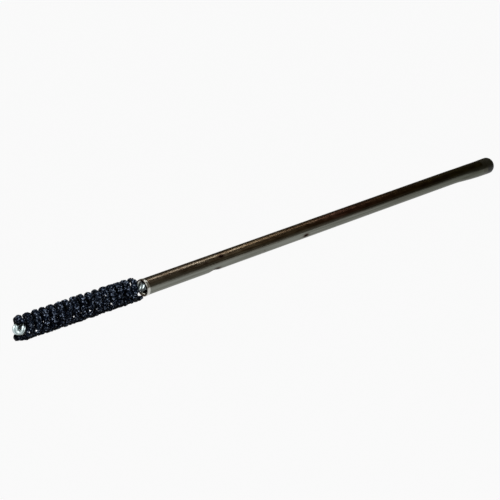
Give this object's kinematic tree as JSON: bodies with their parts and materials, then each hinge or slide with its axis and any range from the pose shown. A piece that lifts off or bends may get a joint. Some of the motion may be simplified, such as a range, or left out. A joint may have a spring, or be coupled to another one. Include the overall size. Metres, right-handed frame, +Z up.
{
  "type": "abrasive bore brush",
  "caption": "Twisted-wire bore brush with spiral ridges of abrasive balls on filaments, a small wire eye at the tip and a long round tube shank for a chuck.",
  "frame": {"origin": "on the axis, at the end of the straight, gripped part of the shank, where its swelled end begins", "axes": "+X along the tool, from the brush towards the end of the shank; +Z up and +Y away from the front, with the eye lying as the picture shows it"},
  "size_m": [0.2533, 0.0092, 0.0094],
  "materials": {
    "shank_steel": "tarnished, brown-grey, with fine lengthwise streaks",
    "plug_black": "satin black",
    "stem_wire": "galvanised, satin",
    "filament": "black nylon",
    "abrasive": "grit bound in resin, near-black blue, with sparse bright facets"
  },
  "bodies": {
    "root": {"shank_tube": "shank_steel", "shank_end_plug": "plug_black", "stem_wire_a": "stem_wire", "stem_wire_b": "stem_wire", "bristle_row_01": "filament", "bristle_row_02": "filament", "bristle_row_03": "filament", "bristle_row_04": "filament", "bristle_row_05": "filament", "bristle_row_06": "filament", "bristle_row_07": "filament", "bristle_row_08": "filament", "bristle_row_09": "filament", "bristle_row_10": "filament", "bristle_row_11": "filament", "bristle_row_12": "filament", "bristle_row_13": "filament", "bristle_row_14": "filament", "bristle_row_15": "filament", "bristle_row_16": "filament", "abrasive_row_01": "abrasive", "abrasive_row_02": "abrasive", "abrasive_row_03": "abrasive", "abrasive_row_04": "abrasive", "abrasive_row_05": "abrasive", "abrasive_row_06": "abrasive", "abrasive_row_07": "abrasive", "abrasive_row_08": "abrasive", "abrasive_row_09": "abrasive", "abrasive_row_10": "abrasive", "abrasive_row_11": "abrasive", "abrasive_row_12": "abrasive", "abrasive_row_13": "abrasive", "abrasive_row_14": "abrasive", "abrasive_row_15": "abrasive", "abrasive_row_16": "abrasive"}
  },
  "joints": []
}
